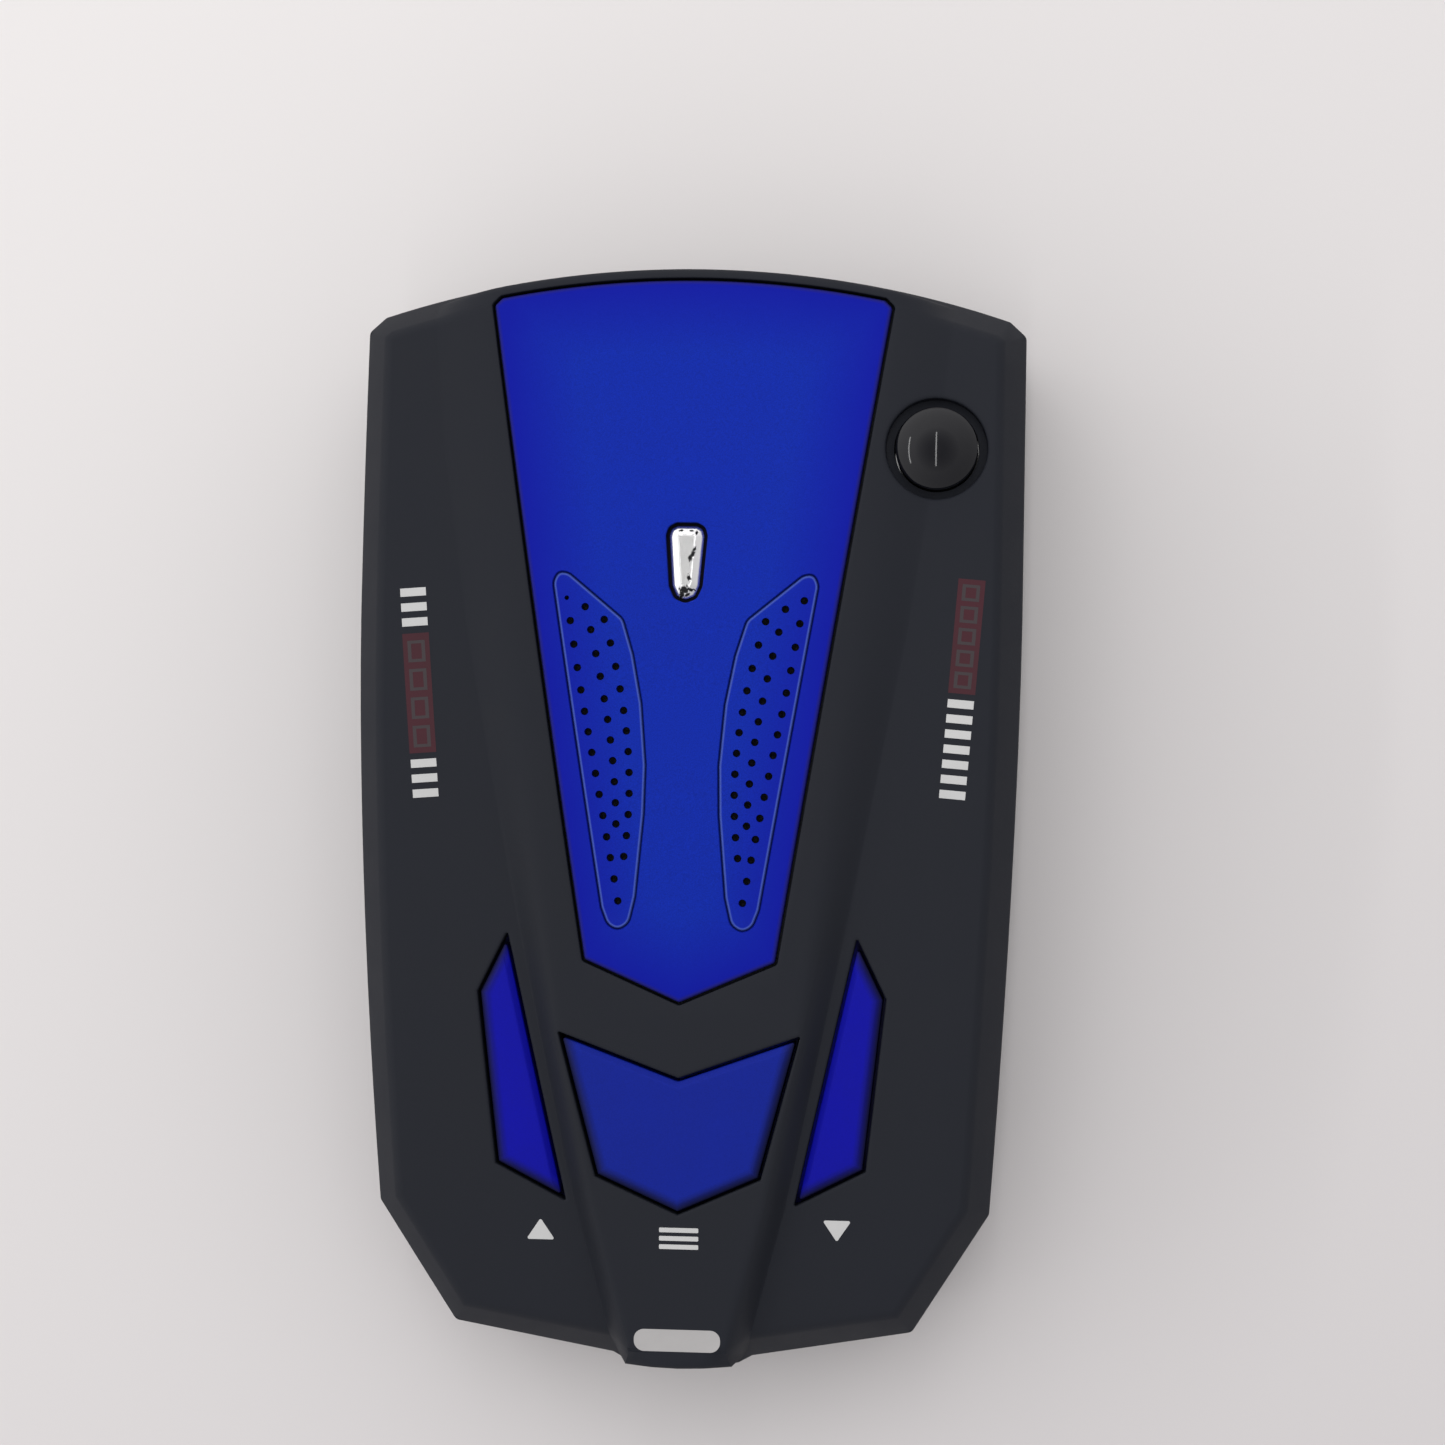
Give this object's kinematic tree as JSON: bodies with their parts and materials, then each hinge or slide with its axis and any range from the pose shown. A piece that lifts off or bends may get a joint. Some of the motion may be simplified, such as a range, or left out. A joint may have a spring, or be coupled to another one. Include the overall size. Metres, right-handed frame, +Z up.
{
  "type": "radar detector",
  "caption": "Compact dash-top radar detector with a tapered blue speaker panel, blue press keys, a black laser dome and a side volume wheel.",
  "frame": {"origin": "middle of the footprint, on the plane that the foot pads stand on", "axes": "+Z up, +Y towards the windshield end, +X to the right as the driver sees it"},
  "size_m": [0.0646, 0.108, 0.03],
  "materials": {
    "black_shell": "soft-touch matt black with a fine grain",
    "black_base": "matt black moulded plastic",
    "screw_steel": "zinc-plated steel",
    "foot_rubber": "matt black rubber",
    "blank_label": "plain silver-grey sticker with nothing printed on it",
    "blue_panel": "blue metallic matt lacquer",
    "badge_chrome": "plated plastic, worn at one edge",
    "speaker_cloth": "black woven acoustic cloth",
    "blue_key": "satin blue lacquer, darker at the edges",
    "switch_plastic": "moulded plastic",
    "switch_steel": "stamped steel cover",
    "board_green": "glass-fibre board with green solder resist",
    "ribbon_film": "flat ribbon",
    "dome_black": "polished black infrared-pass plastic",
    "seal_rubber": "soft black rubber",
    "inner_plastic": "moulded plastic",
    "sensor_resin": "dark resin",
    "window_red": "very dark red infrared window",
    "window_smoke": "smoked display window",
    "lens_red": "red-tinted lens",
    "diode_can": "gold-washed can",
    "horn_alloy": "die-cast alloy",
    "board_pale": "pale microwave board",
    "shield_tin": "tinned steel can",
    "chip_black": "moulded package",
    "capacitor_sleeve": "printed sleeve, left plain",
    "plug_ivory": "ivory nylon",
    "lead_red": "insulated wire",
    "digit_red": "unlit red segments",
    "speaker_steel": "pressed steel basket",
    "magnet_ferrite": "ferrite magnet",
    "cone_paper": "black paper cone",
    "wheel_black": "ridged black plastic",
    "spindle_steel": "turned steel",
    "pot_steel": "stamped steel cover",
    "jack_black": "moulded socket",
    "pin_brass": "plated contact pin"
  },
  "bodies": {
    "case": {"top_cover": "black_shell", "bottom_cover": "black_base", "case_screws": "screw_steel", "foot_pads": "foot_rubber", "rating_label": "blank_label", "centre_panel": "blue_panel", "badge": "badge_chrome", "grille_cloth": "speaker_cloth", "key_switches": "switch_steel", "key_board": "board_green", "key_board_screws": "screw_steel", "key_ribbon": "ribbon_film", "laser_dome": "dome_black", "dome_seal": "seal_rubber", "sensor_post": "inner_plastic", "top_laser_sensor": "sensor_resin", "front_window": "window_red", "display_window": "window_smoke", "lens_holder": "inner_plastic", "laser_lens": "lens_red", "laser_diode": "diode_can", "horn_antenna": "horn_alloy", "rf_board": "board_pale", "antenna_screws": "screw_steel", "rf_shield": "shield_tin", "main_board": "board_green", "board_screws": "screw_steel", "main_chip": "chip_black", "voice_chip": "chip_black", "capacitors": "capacitor_sleeve", "speaker_plug": "plug_ivory", "speaker_leads": "lead_red", "led_display": "inner_plastic", "display_digits": "digit_red", "speaker_frame": "speaker_steel", "speaker_magnet": "magnet_ferrite", "volume_pot": "pot_steel", "power_jack": "jack_black", "jack_pin": "pin_brass"},
    "up_button": {"up_key": "blue_key", "up_plunger": "switch_plastic"},
    "menu_button": {"menu_key": "blue_key", "menu_plunger": "switch_plastic"},
    "down_button": {"down_key": "blue_key", "down_plunger": "switch_plastic"},
    "volume_knob": {"volume_wheel": "wheel_black", "wheel_spindle": "spindle_steel"},
    "cone": {"speaker_cone": "cone_paper"}
  },
  "joints": [
    {"name": "up_press", "type": "slide", "parent": "case", "child": "up_button", "axis": [0, 0, -1], "range_m": [0, 0.0005], "stiffness_N_per_m": 300, "springref_m": -0.001},
    {"name": "menu_press", "type": "slide", "parent": "case", "child": "menu_button", "axis": [0, 0, -1], "range_m": [0, 0.0005], "stiffness_N_per_m": 300, "springref_m": -0.001},
    {"name": "down_press", "type": "slide", "parent": "case", "child": "down_button", "axis": [0, 0, -1], "range_m": [0, 0.0005], "stiffness_N_per_m": 300, "springref_m": -0.001},
    {"name": "volume_turn", "type": "hinge", "parent": "case", "child": "volume_knob", "pos_m": [-0.02368, -0.016, 0.0142], "axis": [0, 0, 1], "range_deg": [0, 270]},
    {"name": "cone_stroke", "type": "slide", "parent": "case", "child": "cone", "axis": [0, 0, 1], "range_m": [-0.0003, 0.0003], "stiffness_N_per_m": 500}
  ]
}
